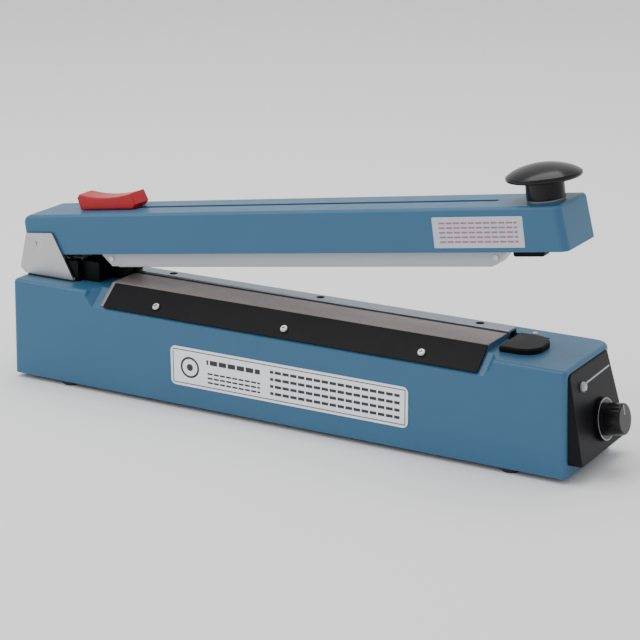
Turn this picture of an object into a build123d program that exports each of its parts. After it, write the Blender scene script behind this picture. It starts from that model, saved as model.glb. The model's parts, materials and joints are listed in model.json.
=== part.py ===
from build123d import *

import os
from math import atan2, cos, degrees, hypot, radians, sin, tan

# Tabletop hand impulse heat sealer with a slide cutter.  Millimetres, +Z up.
# Origin: under the middle of the whole machine, on the plane that the feet rest on.
# +X points to the timer end, -Y is the front, and the arm hinges at the -X end.

# ---------------------------------------------------------------- driving dimensions
# base casting
base_length = 440.0          # at the top of the casting
base_depth = 82.0            # at the bottom of the casting
base_height = 72.2
end_draft = 2.2              # how much longer each end is at the bottom
back_flare = 5.5             # how much deeper the casting is at the bottom
base_wall = 4.0
base_roof = 4.5
front_corner_radius = 3.5
back_corner_radius = 11.0
top_edge_radius = 2.8
foot_stand = 3.5             # gap under the casting
middle_x = 11.0              # middle of the whole machine from the middle of the casting
middle_y = 2.8

# sealing bed
recess_runout = 5.0          # chamfer where the recess's end walls meet its slope
recess_start = 66.0          # from the left end to the start of the sloped recess
recess_end = 52.0            # from the right end to its other end
bed_start = 77.0             # from the left end to the raised bed
bed_end = 62.5               # from the right end to the raised bed
bed_rise = 3.2               # bed above the end blocks
slope_run = 18.0             # depth of the front slope
slope_drop = 14.9            # height of the front slope
bed_flat = 27.5              # flat width of the bed
bed_edge_radius = 1.5
trough_depth = 9.0           # blade trough below the end blocks
trough_start = 50.0          # from the left end
trough_end = 38.0            # from the right end
blade_gap = 3.5              # from the bed to the guide rail
rail_width = 12.5
rail_rise = 1.6              # rail above the bed
rail_wall = 1.6

# sealing stack and clamp
tape_thickness = 0.25
band_thickness = 0.2
band_width = 3.0
cloth_thickness = 0.25
cloth_overhang = 3.5         # cloth past each end of the clamp strip
cloth_tuck = 6.0             # cloth turned down behind the bed
strip_length = 297.0
strip_width = 21.6
strip_thickness = 1.2
strip_screw_pitch = 105.6
terminal_length = 9.0
terminal_width = 10.0
terminal_height = 5.0
insulator_thickness = 1.5
pocket_gap = 0.5             # round each terminal in its pocket

# hinge and arm
open_angle = 7.9             # degrees, arm open at rest, closed when level
pin_inset = 9.9              # from the casting's left end to the hinge pin
pin_diameter = 6.0
pin_tenon_diameter = 3.4
running_clearance = 0.05     # radial, pin in its bushes
bush_diameter = 10.0
bush_flange = 0.4
arm_offset = -1.5            # centre line of the arm from the centre of the base
arm_width = 45.5
arm_wall = 3.0
arm_roof = 3.5
arm_web = 3.0
arm_under = 8.8              # hinge pin down to the underside of the arm
arm_above = 20.6             # hinge pin up to the top of the arm
arm_tail = 9.0               # hinge pin back to the tail of the arm
arm_reach = 424.0            # hinge pin to the nose of the arm
arm_front_corner = 5.0       # nose corners
arm_back_corner = 3.0
arm_tail_radius = 6.0
arm_edge_radius = 2.8
cheek_gap = 0.5
sheet_steel = 1.5
gasket_thickness = 1.2
bracket_length = 44.5

# sealing pad under the arm
pad_drop = 11.3              # underside of the arm to the bottom of the rubber
pad_width = 15.0
pad_setback = 4.8            # front of the arm to the front of the holder
pad_start = 54.0             # hinge pin to the top of the holder's left end
pad_end = 381.0              # hinge pin to the top of the holder's right end
pad_taper_start = 9.0
pad_taper_end = 11.0
rubber_width = 8.8
rubber_proud = 1.4
closed_gap = 0.3             # left between the pad and the cloth when the arm is level

# slide cutter
slot_width = 5.0
slot_start = 40.0            # hinge pin to the slot's left end
slot_end = 369.0
grip_length = 52.0
grip_width = 17.0
grip_height = 11.5
grip_start = 32.5            # hinge pin to the grip's left end
carrier_length = 28.0
carrier_start = 42.0
stem_clearance = 0.5
blade_thickness = 0.5
blade_width = 16.0
blade_clear_of_floor = 2.5

# press knob
knob_station = 402.5         # hinge pin to the press knob
cap_diameter = 50.0
neck_diameter = 25.5
neck_height = 12.4           # from the washer to the groove under the cap
knob_height = 24.0

# timer console on the right end
console_bottom = 8.0         # above the casting's bottom edge
console_top = 70.0
console_proud_top = 0.8
console_proud_bottom = 10.0
console_front_inset = 3.0
console_back_inset_top = 10.5
console_wall = 2.5
dial_depth_from_front = 44.0
dial_height = 29.0
dial_skirt_diameter = 29.0
dial_body_diameter = 22.0
dial_body_height = 15.5
dial_skirt_height = 2.4
dial_gap = 0.5
shaft_diameter = 6.0
lamp_depth_from_front = 20.0
lamp_height = 57.5
lamp_diameter = 7.0

# switch
rest_start = 384.0           # from the left end to the D-shaped rest
rest_end = 410.0
rest_front = 19.0            # from the front face
rest_back = 53.0
rest_rise = 4.0
plunger_station = 393.0
plunger_depth_from_front = 56.5
plunger_diameter = 4.0
plunger_travel = 2.0
plunger_head_rise = 4.4      # plunger top above the end blocks
striker_length = 25.0
striker_width = 8.0

# small hardware
m3 = 3.0
m4 = 4.0
thread_clearance = 0.05      # radial, screw shank in its hole
foot_diameter = 14.0
foot_neck = 9.6
foot_inset = 8.3             # front feet from the front face
cover_thickness = 1.5
cover_gap = 0.4

# ---------------------------------------------------------------- derived places
x_left = -base_length / 2
x_right = base_length / 2
y_front = -base_depth / 2
y_back = base_depth / 2
y_back_top = y_back - back_flare
z_base = foot_stand
z_top = z_base + base_height
z_bed = z_top + bed_rise
y_bed_front = y_front + slope_run
y_bed_back = y_bed_front + bed_flat
z_slope = z_bed - slope_drop
x_bed0 = x_left + bed_start
x_bed1 = x_right - bed_end
x_recess0 = x_left + recess_start
x_recess1 = x_right - recess_end
y_rail_front = y_bed_back + blade_gap
y_rail_back = y_rail_front + rail_width
z_trough = z_top - trough_depth
x_trough0 = x_left + trough_start
x_trough1 = x_right - trough_end
z_rail = z_bed + rail_rise
z_roof = z_trough - base_roof

slope_angle = degrees(atan2(slope_drop, slope_run))
slope_length = hypot(slope_run, slope_drop)
stack_height = tape_thickness + band_thickness
cloth_mid = stack_height + cloth_thickness / 2
cloth_top = stack_height + cloth_thickness

y_arm = arm_offset
arm_front = y_arm - arm_width / 2
arm_back = y_arm + arm_width / 2
pad_middle = arm_front + pad_setback + pad_width / 2
x_pin = x_left + pin_inset
z_pin = z_bed + cloth_top + closed_gap + pad_drop + arm_under
lean = radians(open_angle)
console_fall = (end_draft * (console_top - console_bottom) / base_height
                + console_proud_bottom - console_proud_top)
console_lean = atan2(console_fall, console_top - console_bottom)


def slope_plane(lift):
    """Plane on the front slope, x along the base, y up the slope."""
    tilt = radians(slope_angle)
    origin = (0, y_front - lift * sin(tilt), z_slope + lift * cos(tilt))
    return Plane(origin=origin, x_dir=(1, 0, 0), z_dir=(0, -sin(tilt), cos(tilt)))


def arm_side(y):
    """Plane along the open arm through the hinge pin: x towards the nose, y up, facing the front."""
    return Plane(origin=(x_pin, y, z_pin), x_dir=(cos(lean), 0, sin(lean)), z_dir=(0, -1, 0))


def arm_level(height):
    """Plane across the open arm at a height above the hinge pin: x towards the nose, y to the back."""
    origin = (x_pin - height * sin(lean), 0, z_pin + height * cos(lean))
    return Plane(origin=origin, x_dir=(cos(lean), 0, sin(lean)), z_dir=(-sin(lean), 0, cos(lean)))


def back_y(z):
    """Y of the leaning rear wall at a height."""
    return y_back - back_flare * (z - z_base) / base_height


def rear_plane(x, up, lift):
    """Plane on the leaning rear wall, x along the base, facing out; up is measured from the bottom edge."""
    wall_lean = atan2(back_flare, base_height)
    across = y_back - up * sin(wall_lean) + lift * cos(wall_lean)
    return Plane(origin=(x, across, z_base + up * cos(wall_lean) + lift * sin(wall_lean)),
                 x_dir=(-1, 0, 0), z_dir=(0, cos(wall_lean), sin(wall_lean)))


def panel_plane(depth, height, lift):
    """Plane on the console's leaning face: x to the back, y up; depth from the front face, height from the bottom edge."""
    x_face = console_x(height)
    origin = (x_face + lift * cos(console_lean), y_front + depth, z_base + height + lift * sin(console_lean))
    return Plane(origin=origin, x_dir=(0, 1, 0), z_dir=(cos(console_lean), 0, sin(console_lean)))


def end_wall_x(height):
    """X of the casting's right end wall at a height above its bottom edge."""
    return x_right + end_draft * (1 - height / base_height)


def console_x(height):
    """X of the console's leaning face at a height above the casting's bottom edge."""
    share = (height - console_bottom) / (console_top - console_bottom)
    low = end_wall_x(console_bottom) + console_proud_bottom
    high = end_wall_x(console_top) + console_proud_top
    return low + share * (high - low)


def machine_screw(diameter, length, head_width, head_height):
    """Pan-head screw with a cross recess: the head sits on Z = 0 and the shank runs down."""
    with BuildPart() as screw:
        Cylinder(head_width / 2, head_height, align=(Align.CENTER, Align.CENTER, Align.MIN))
        fillet(screw.faces().sort_by(Axis.Z)[-1].edges(), radius=head_height * 0.55)
        Cylinder(diameter / 2, length, align=(Align.CENTER, Align.CENTER, Align.MAX))
        with Locations((0, 0, head_height)):
            Box(head_width * 0.55, head_width * 0.14, head_height, mode=Mode.SUBTRACT)
            Box(head_width * 0.14, head_width * 0.55, head_height, mode=Mode.SUBTRACT)
    return screw.part


def finish(part, name):
    """Moves a piece from the casting's middle to the machine's, labels it and writes it as one STEP file."""
    part = part.moved(Location((-middle_x, -middle_y, 0)))
    part.label = name
    export_step(part, f"parts/{name}.step")


os.makedirs("parts", exist_ok=True)

# ---------------------------------------------------------------- base casting
plunger_x = x_left + plunger_station
plunger_y = y_front + plunger_depth_from_front
cover_screw_places = [
    (x_left + 14, y_front + 12), (x_right - 14, y_front + 12),
    (x_left + 16, y_back - 16), (x_right - 16, y_back - 16),
    (0, y_front + base_wall + 4), (0, y_back - base_wall - 7.5),
]
post_diameter = 9.0
z_cover = z_base + cover_gap
z_cover_top = z_cover + cover_thickness
foot_places = [
    (x_left + 44, y_front + foot_inset), (x_right - 40, y_front + foot_inset),
    (x_left + 44, y_back - 13), (x_right - 40, y_back - 13),
]
strip_x = (x_left + 81 + strip_length / 2)
strip_screw_xs = [strip_x - strip_screw_pitch, strip_x, strip_x + strip_screw_pitch]
strip_screw_up = 8.3         # up the slope from its lower edge
rail_screw_xs = [x_left + 105, x_left + 229, x_left + 353]
bracket_screw_places = [(x_left + 14, y_arm - 14), (x_left + 14, y_arm + 14),
                        (x_left + 36, y_arm - 14), (x_left + 36, y_arm + 14)]
guard_x0 = x_left + bracket_length + 1.0
guard_x1 = x_bed0 - 0.5
terminal_y = pad_middle
terminal_xs = [x_bed0 + 1.5 + terminal_length / 2, x_bed1 - 1.5 - terminal_length / 2]
pocket_depth = terminal_height + insulator_thickness
grommet_x = x_right - 60
fuse_x = x_right - 95
rear_height = 26.0           # up the rear wall, both for the cord grommet and the fuse
grommet_neck = 11.0
fuse_diameter = 12.0
console_window = (40.0, 44.0)
console_window_centre = (y_front + 35.0, z_base + 40.0)
console_screw_places = [(y_front + 9.5, z_base + 15.0), (y_front + 65.0, z_base + 15.0)]
stud_xs = [terminal_xs[0] - 2.2, terminal_xs[1] + 2.2]
guard_screw_x = guard_x0 + 7.0
guard_screw_y = y_front + 30.0
switch_flange_xs = [plunger_x - 10.0, plunger_x + 10.0]
switch_flange_y = plunger_y - 10.3

roof = z_top - base_roof
with BuildPart() as hollow:
    with BuildSketch(Plane.YZ.offset(x_left - end_draft + base_wall)):
        with BuildLine():
            Polyline((y_front + base_wall, z_base - 1), (y_front + base_wall, z_slope - 3),
                     (y_bed_front - 2, roof - 1), (y_bed_back - 4, roof - 1), (y_bed_back - 4, z_roof),
                     (y_rail_back + 4, z_roof), (y_rail_back + 4, roof),
                     (back_y(roof) - base_wall, roof), (back_y(z_base - 1) - base_wall, z_base - 1), close=True)
        make_face()
    extrude(amount=base_length + 2 * (end_draft - base_wall))
    for end in (0, -1):
        end_edges = hollow.faces().sort_by(Axis.X)[end].edges().filter_by(lambda e: abs(e.tangent_at(0.5).Z) > 0.9)
        fillet(end_edges.sort_by(Axis.Y)[-1], radius=back_corner_radius - 3)

with BuildPart() as base_casting:
    with BuildSketch(Plane.YZ.offset(x_left - end_draft)):
        with BuildLine():
            Polyline((y_front, z_base), (y_back, z_base), (y_back_top, z_top), (y_front, z_top), close=True)
        make_face()
    extrude(amount=base_length + 2 * end_draft)
    with BuildSketch(Plane.XZ.offset(-base_depth)):
        with BuildLine():
            Polyline((x_left - end_draft, z_base), (x_right + end_draft, z_base),
                     (x_right, z_top), (x_left, z_top), close=True)
        make_face()
    extrude(amount=2 * base_depth, mode=Mode.INTERSECT)
    uprights = base_casting.edges().filter_by(lambda e: abs(e.tangent_at(0.5).Z) > 0.9)
    fillet(uprights.group_by(Axis.Y)[0], radius=front_corner_radius)
    uprights = base_casting.edges().filter_by(lambda e: abs(e.tangent_at(0.5).Z) > 0.9)
    fillet(uprights.group_by(Axis.Y)[-1], radius=back_corner_radius)
    fillet(base_casting.faces().sort_by(Axis.Z)[-1].edges(), radius=top_edge_radius)
    # front corner cut away above the slope, then the bed raised behind it
    with BuildSketch(Plane.YZ.offset(x_recess0)):
        with BuildLine():
            Polyline((y_front - 1, z_slope - tan(radians(slope_angle))), (y_front - 1, z_bed + 5),
                     (y_bed_front, z_bed + 5), (y_bed_front, z_bed), close=True)
        make_face()
    extrude(amount=x_recess1 - x_recess0, mode=Mode.SUBTRACT)
    # end walls of the cut run out softly
    for wall_x in (x_recess0, x_recess1):
        wall_edges = base_casting.edges().filter_by_position(Axis.X, wall_x - 0.01, wall_x + 0.01)
        chamfer(wall_edges.sort_by(Edge.length)[-1], length=recess_runout)
    for wall_x in (x_recess0, x_recess1):
        wall_edges = base_casting.edges().filter_by_position(Axis.X, wall_x - 0.01, wall_x + 0.01)
        fillet(wall_edges.filter_by(lambda e: e.center().Z > z_top - top_edge_radius or abs(e.tangent_at(0.5).Z) > 0.9),
               radius=1.5)
    with BuildSketch(Plane.YZ.offset(x_bed0)):
        with BuildLine():
            Polyline((y_front + 0.6, z_slope + 0.6 * tan(radians(slope_angle))), (y_bed_front, z_bed),
                     (y_bed_back, z_bed), (y_bed_back, z_trough), (y_bed_front, z_trough),
                     (y_front + 6, z_slope), close=True)
        make_face()
    extrude(amount=x_bed1 - x_bed0)
    # trough for the blade and its guide rail
    with BuildSketch(Plane.XY.offset(z_trough)):
        with Locations(((x_trough0 + x_bed1 + 3.5) / 2, (y_bed_back + y_rail_back) / 2)):
            Rectangle(x_bed1 + 3.5 - x_trough0, y_rail_back - y_bed_back)
        with Locations(((x_bed1 + 3.5 + x_trough1) / 2 - 1, y_rail_back - 3.9)):
            Rectangle(x_trough1 - x_bed1 - 1.5, 7.8)
    extrude(amount=trough_depth + 10, mode=Mode.SUBTRACT)
    # hollow underneath
    add(hollow.part, mode=Mode.SUBTRACT)
    # posts for the bottom cover
    with BuildSketch(Plane.XY.offset(z_cover_top)):
        with Locations(*cover_screw_places[:4]):
            Circle(post_diameter / 2)
    extrude(amount=z_top - base_roof / 2 - z_cover_top)
    with BuildSketch(Plane.XY.offset(z_cover_top)):
        with Locations(*cover_screw_places[4:]):
            Circle(post_diameter / 2)
    extrude(amount=z_slope - 1 - z_cover_top)
    # lip round the bottom that the cover sits in
    with BuildSketch(Plane.XY.offset(z_base - 1)):
        Rectangle(base_length - 2 * base_wall + 2 * end_draft + 1.6, base_depth - 2 * base_wall + 1.6)
        fillet(vertices(), radius=4)
    extrude(amount=1 + z_cover_top - z_base, mode=Mode.SUBTRACT)
    # threaded holes
    with Locations(*[(x, y, z_base) for x, y in cover_screw_places]):
        Cylinder(m3 / 2 + thread_clearance, 30, mode=Mode.SUBTRACT)
    with Locations(slope_plane(0)):
        with Locations(*[(x, strip_screw_up, 0) for x in strip_screw_xs]):
            Cylinder(m3 / 2 + thread_clearance, 14, mode=Mode.SUBTRACT)
    with Locations(*[(x, (y_rail_front + y_rail_back) / 2, z_trough) for x in rail_screw_xs]):
        Cylinder(m3 / 2 + thread_clearance, 12, mode=Mode.SUBTRACT)
    with Locations(*[(x, y, z_top) for x, y in bracket_screw_places]):
        Cylinder(m4 / 2 + thread_clearance, 30, mode=Mode.SUBTRACT)
    # pockets for the element terminals
    with Locations(*[(x, terminal_y, z_bed - pocket_depth / 2) for x in terminal_xs]):
        Box(terminal_length + 2 * pocket_gap, terminal_width + 2 * pocket_gap, pocket_depth, mode=Mode.SUBTRACT)
    # plunger hole, console window, cord gland and fuse holes
    with Locations((plunger_x, plunger_y, z_trough)):
        Cylinder(plunger_diameter / 2 + running_clearance, 30, mode=Mode.SUBTRACT)
    with Locations((x_right, *console_window_centre)):
        Box(20, console_window[0], console_window[1], mode=Mode.SUBTRACT)
    with Locations(rear_plane(grommet_x, rear_height, 0)):
        Cylinder(grommet_neck / 2 + thread_clearance, 16, mode=Mode.SUBTRACT)
    with Locations(rear_plane(fuse_x, rear_height, 0)):
        Cylinder(fuse_diameter / 2 + thread_clearance, 16, mode=Mode.SUBTRACT)
    # holes under the terminals, the blade guard and the switch bracket
    with Locations(*[(x, terminal_y, z_bed) for x in stud_xs]):
        Cylinder(m3 / 2 + 1.0, 30, mode=Mode.SUBTRACT)
    with Locations((guard_screw_x, guard_screw_y, z_top)):
        Cylinder(m3 / 2 + thread_clearance, 12, mode=Mode.SUBTRACT)
    with Locations(*[(x, switch_flange_y, z_roof) for x in switch_flange_xs]):
        Cylinder(m3 / 2 + thread_clearance, 12, mode=Mode.SUBTRACT)
    with Locations(*[(x_right, y, z) for y, z in console_screw_places]):
        Cylinder(m3 / 2 + 0.3, 30, rotation=(0, 90, 0), mode=Mode.SUBTRACT)
finish(base_casting.part, "base_casting")

# ---------------------------------------------------------------- bottom cover, its screws and the feet
cover_length = base_length - 2 * base_wall + 2 * end_draft + 0.8
cover_depth = base_depth - 2 * base_wall + 0.8
transformer_x = x_left + 150.0
transformer_y = y_front + 39.0
board_x = x_right - 118.0
board_y = y_front + 39.0
board_size = (72.0, 52.0)
board_inset = 4.0
standoff_height = 8.0
frame_foot_span = 84.0

with BuildPart() as bottom_cover:
    with BuildSketch(Plane.XY.offset(z_cover)):
        Rectangle(cover_length, cover_depth)
        fillet(vertices(), radius=4)
        with Locations(*cover_screw_places, *foot_places):
            Circle(m3 / 2 + 0.2, mode=Mode.SUBTRACT)
        with Locations((transformer_x, transformer_y)):
            with GridLocations(frame_foot_span, 1, 2, 1):
                Circle(m4 / 2 + 0.2, mode=Mode.SUBTRACT)
        with Locations((board_x, board_y)):
            with GridLocations(board_size[0] - 2 * board_inset, board_size[1] - 2 * board_inset, 2, 2):
                Circle(m3 / 2 + 0.2, mode=Mode.SUBTRACT)
        with Locations((transformer_x + 80, transformer_y), (transformer_x - 80, transformer_y)):
            with GridLocations(7, 1, 7, 1):
                SlotOverall(36, 3, rotation=90, mode=Mode.SUBTRACT)
    extrude(amount=cover_thickness)
finish(bottom_cover.part, "bottom_cover")

cover_screw = machine_screw(m3, 12, 5.6, 1.7)
with BuildPart() as bottom_cover_screws:
    with Locations(*[Location((x, y, z_cover), (180, 0, 0)) for x, y in cover_screw_places]):
        add(cover_screw)
finish(bottom_cover_screws.part, "bottom_cover_screws")

with BuildPart() as rubber_feet:
    for x, y in foot_places:
        with BuildSketch(Plane.XY.offset(0)):
            with Locations((x, y)):
                Circle(foot_diameter / 2 - 0.8)
                Circle(3.4, mode=Mode.SUBTRACT)
        with BuildSketch(Plane.XY.offset(z_base - closed_gap)):
            with Locations((x, y)):
                Circle(foot_diameter / 2)
                Circle(3.4, mode=Mode.SUBTRACT)
        loft()
        with BuildSketch(Plane.XY.offset(2.4)):
            with Locations((x, y)):
                Circle(foot_neck / 2)
                Circle(m3 / 2 + 0.2, mode=Mode.SUBTRACT)
        extrude(amount=z_cover - 2.4)
finish(rubber_feet.part, "rubber_feet")

# ---------------------------------------------------------------- sealing bed
with BuildPart() as bed_tape:
    with BuildSketch(Plane.XY.offset(z_bed)):
        with Locations(((x_bed0 + x_bed1) / 2, terminal_y)):
            Rectangle(terminal_xs[1] - terminal_xs[0] - terminal_length, 12)
    extrude(amount=tape_thickness)
finish(bed_tape.part, "bed_tape")

with BuildPart() as heating_element:
    with BuildSketch(Plane.XY.offset(z_bed + tape_thickness)):
        with Locations(((x_bed0 + x_bed1) / 2, terminal_y)):
            Rectangle(stud_xs[1] - stud_xs[0] - 7, band_width)
    extrude(amount=band_thickness)
finish(heating_element.part, "heating_element")

with BuildPart() as element_terminals:
    with Locations(*[(x, terminal_y, z_bed - terminal_height) for x in terminal_xs]):
        Box(terminal_length, terminal_width, terminal_height, align=(Align.CENTER, Align.CENTER, Align.MIN))
    with Locations(*[(x, terminal_y, z_bed) for x in stud_xs]):
        CounterBoreHole(m3 / 2 + thread_clearance, 2.9, 2.2, depth=terminal_height)
finish(element_terminals.part, "element_terminals")

with BuildPart() as terminal_insulators:
    with Locations(*[(x, terminal_y, z_bed - pocket_depth) for x in terminal_xs]):
        Box(terminal_length, terminal_width, insulator_thickness, align=(Align.CENTER, Align.CENTER, Align.MIN))
    with Locations(*[(x, terminal_y, z_bed - terminal_height) for x in stud_xs]):
        Hole(m3 / 2 + 0.2, depth=insulator_thickness)
finish(terminal_insulators.part, "terminal_insulators")

with BuildPart() as terminal_screws:
    with Locations(*[(x, terminal_y, z_bed - 2.2) for x in stud_xs]):
        add(machine_screw(m3, 13, 5.4, 1.7))
finish(terminal_screws.part, "terminal_screws")

cloth_x0 = strip_x - strip_length / 2 - cloth_overhang
cloth_x1 = strip_x + strip_length / 2 + cloth_overhang - 4.0
tilt = radians(slope_angle)
front_edge = (y_front - cloth_mid * sin(tilt) + 2.0 * cos(tilt), z_slope + cloth_mid * cos(tilt) + 2.0 * sin(tilt))
crest = (y_bed_front - cloth_mid * tan(tilt / 2), z_bed + cloth_mid)
with BuildPart() as ptfe_cloth:
    with BuildSketch(Plane.YZ.offset(cloth_x0)):
        with BuildLine():
            FilletPolyline(front_edge, crest, (y_bed_back + cloth_mid, z_bed + cloth_mid),
                           (y_bed_back + cloth_mid, z_bed - cloth_tuck), radius=0.5)
        trace(line_width=cloth_thickness)
    extrude(amount=cloth_x1 - cloth_x0)
    with Locations(slope_plane(cloth_mid)):
        with Locations(*[(x, strip_screw_up, 0) for x in strip_screw_xs]):
            Cylinder(m3 / 2 + 0.2, 3, mode=Mode.SUBTRACT)
finish(ptfe_cloth.part, "ptfe_cloth")

strip_seat = slope_plane(cloth_top)
with BuildPart() as clamp_strip:
    with BuildSketch(strip_seat):
        with Locations((strip_x, 1.0 + strip_width / 2)):
            Rectangle(strip_length, strip_width)
            fillet(vertices(), radius=1.0)
        with Locations(*[(x, strip_screw_up) for x in strip_screw_xs]):
            Circle(m3 / 2 + 0.2, mode=Mode.SUBTRACT)
    extrude(amount=strip_thickness)
finish(clamp_strip.part, "clamp_strip")

with BuildPart() as clamp_strip_screws:
    with Locations(slope_plane(cloth_top + strip_thickness)):
        with Locations(*[(x, strip_screw_up, 0) for x in strip_screw_xs]):
            add(machine_screw(m3, 7, 5.8, 1.8))
finish(clamp_strip_screws.part, "clamp_strip_screws")

rail_mid = (y_rail_front + y_rail_back) / 2
rail_x0 = x_bed0
rail_x1 = x_bed1
with BuildPart() as cutter_guide_rail:
    with BuildSketch(Plane.YZ.offset(rail_x0)):
        with Locations((rail_mid, (z_trough + z_rail) / 2)):
            Rectangle(rail_width - 0.3, z_rail - z_trough)
            fillet(vertices().group_by(Axis.Y)[-1], radius=0.8)
        with Locations((rail_mid, z_trough + (z_rail - z_trough) / 2)):
            Rectangle(rail_width - 0.3 - 2 * rail_wall, z_rail - z_trough - 2 * rail_wall, mode=Mode.SUBTRACT)
    extrude(amount=rail_x1 - rail_x0)
    with Locations(*[(x, rail_mid, z_rail) for x in rail_screw_xs]):
        CounterBoreHole(m3 / 2 + 0.2, 3.0, z_rail - z_trough - rail_wall)
finish(cutter_guide_rail.part, "cutter_guide_rail")

with BuildPart() as rail_screws:
    with Locations(*[(x, rail_mid, z_trough + rail_wall) for x in rail_screw_xs]):
        add(machine_screw(m3, 5.5, 5.6, 1.8))
finish(rail_screws.part, "rail_screws")

# ---------------------------------------------------------------- hinge
z_gasket = z_top + gasket_thickness
z_plate = z_gasket + sheet_steel
cheek_inner = arm_width / 2 + cheek_gap
cheek_outer = cheek_inner + sheet_steel
cheek_outline = [
    (x_left + 0.5, z_gasket), (x_left - 3.8, z_gasket + 4.0), (x_left + 2.7, z_top + 31.4),
    (x_left + 26.2, z_top + 34.2), (x_left + bracket_length, z_gasket),
]
stop_height = 10.8           # web across the tail end that the arm rests against when open

with BuildPart() as bracket_gasket:
    with BuildSketch(Plane.XY.offset(z_top)):
        with Locations((x_left + 1.5 + bracket_length / 2, y_arm)):
            Rectangle(bracket_length - 2, 2 * cheek_outer + 1.6)
            fillet(vertices(), radius=2)
        with Locations(*bracket_screw_places):
            Circle(m4 / 2 + 0.3, mode=Mode.SUBTRACT)
    extrude(amount=gasket_thickness)
finish(bracket_gasket.part, "bracket_gasket")

with BuildPart() as hinge_bracket:
    for side in (-1, 1):
        start = y_arm + side * cheek_outer
        with BuildSketch(Plane.XZ.offset(-start)):
            with BuildLine():
                Polyline(*cheek_outline, close=True)
            make_face()
            fillet(vertices().sort_by(Axis.Y)[-3:], radius=2.5)
            with Locations((x_pin, z_pin)):
                Circle(pin_tenon_diameter / 2 + thread_clearance, mode=Mode.SUBTRACT)
        extrude(amount=side * sheet_steel)
    with BuildSketch(Plane.XY.offset(z_gasket)):
        with Locations((x_left + (0.5 + bracket_length) / 2, y_arm)):
            Rectangle(bracket_length - 0.5, 2 * cheek_inner)
        with Locations(*bracket_screw_places):
            Circle(m4 / 2 + 0.2, mode=Mode.SUBTRACT)
    extrude(amount=sheet_steel)
    with BuildSketch(Plane.XY.offset(z_gasket)):
        with Locations((x_left + 0.5 - sheet_steel / 2, y_arm)):
            Rectangle(sheet_steel, 2 * cheek_inner)
    extrude(amount=stop_height + sheet_steel)
finish(hinge_bracket.part, "hinge_bracket")

with BuildPart() as bracket_screws:
    with Locations(*[(x, y, z_plate) for x, y in bracket_screw_places]):
        add(machine_screw(m4, 9, 7.2, 2.2))
finish(bracket_screws.part, "bracket_screws")

with BuildPart() as hinge_pin:
    with Locations(Location((x_pin, y_arm, z_pin), (90, 0, 0))):
        Cylinder(pin_diameter / 2, 2 * cheek_inner)
        Cylinder(pin_tenon_diameter / 2, 2 * cheek_outer)
        for side in (-1, 1):
            with Locations((0, 0, side * (cheek_outer + 0.3))):
                Cylinder(pin_tenon_diameter / 2 + 0.5, 0.6)
finish(hinge_pin.part, "hinge_pin")

spring_station = 18.0        # hinge pin to the return spring
spring_wire = 1.6
spring_radius = 5.4          # to the middle of the wire
spring_x = x_pin + spring_station
arm_bottom_there = (z_pin - arm_under * cos(lean) + (spring_station - spring_radius - spring_wire) * sin(lean)
                    + arm_under * sin(lean) ** 2)
spring_length = arm_bottom_there - closed_gap - z_plate
spring_turns = 4
with BuildPart() as return_spring:
    with BuildLine() as coil:
        Helix(pitch=(spring_length - spring_wire) / spring_turns, height=spring_length - spring_wire,
              radius=spring_radius, center=(spring_x, y_arm, z_plate + spring_wire / 2))
    with BuildSketch(Plane(origin=coil.line @ 0, z_dir=coil.line % 0)):
        Circle(spring_wire / 2)
    sweep(is_frenet=True)
finish(return_spring.part, "return_spring")

# ---------------------------------------------------------------- blade guard beside the hinge
guard_front = y_front + 22.5
guard_step = y_arm - 1.0
guard_back = y_front + 57.0
guard_front_top = z_pin - arm_under - 0.6
guard_back_top = z_pin - arm_under + 2.3
guard_nose = guard_x0 + 16.5
wing_start = x_left + 24.0
wing_front = y_front + 17.3
wing_depth = 4.0
blade_y = y_rail_front - 1.45   # middle of the blade, in the gap beside the guide rail
guard_slot = 6.0
guard_screw_seat = 6.0       # head of the guard's screw above the casting
with BuildPart() as blade_guard:
    with BuildSketch(Plane.XY.offset(z_top)):
        with Locations(((guard_x0 + guard_nose) / 2, (guard_front + guard_step) / 2)):
            Rectangle(guard_nose - guard_x0, guard_step - guard_front)
    extrude(amount=guard_front_top - z_top)
    with BuildSketch(Plane.XY.offset(z_top)):
        with Locations(((guard_x0 + guard_x1) / 2, (guard_step + guard_back) / 2)):
            Rectangle(guard_x1 - guard_x0, guard_back - guard_step)
    extrude(amount=guard_back_top - z_top)
    # wing over the bracket's plate, close behind its front cheek
    with BuildSketch(Plane.XY.offset(z_plate + closed_gap)):
        with Locations(((wing_start + guard_x0 + 1.5) / 2, wing_front + wing_depth / 2)):
            Rectangle(guard_x0 + 1.5 - wing_start, wing_depth)
    extrude(amount=guard_front_top - z_plate - closed_gap)
    with BuildSketch(Plane.XY.offset(z_top)):
        with Locations((guard_x0 + 0.75, (wing_front + guard_front) / 2 + 1)):
            Rectangle(1.5, guard_front - wing_front + 2)
    extrude(amount=guard_front_top - z_top)
    fillet(blade_guard.edges().filter_by(Axis.Z).group_by(Axis.Y)[0].sort_by(Axis.Z)[-1], radius=1)
    with Locations(((guard_x0 + 8 + guard_x1 + 5) / 2, blade_y, z_top + 15)):
        Box(guard_x1 - guard_x0 - 3, guard_slot, 60, mode=Mode.SUBTRACT)
    with Locations((guard_screw_x, guard_screw_y, guard_front_top)):
        CounterBoreHole(m3 / 2 + 0.2, 3.2, guard_front_top - z_top - guard_screw_seat)
finish(blade_guard.part, "blade_guard")

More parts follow.
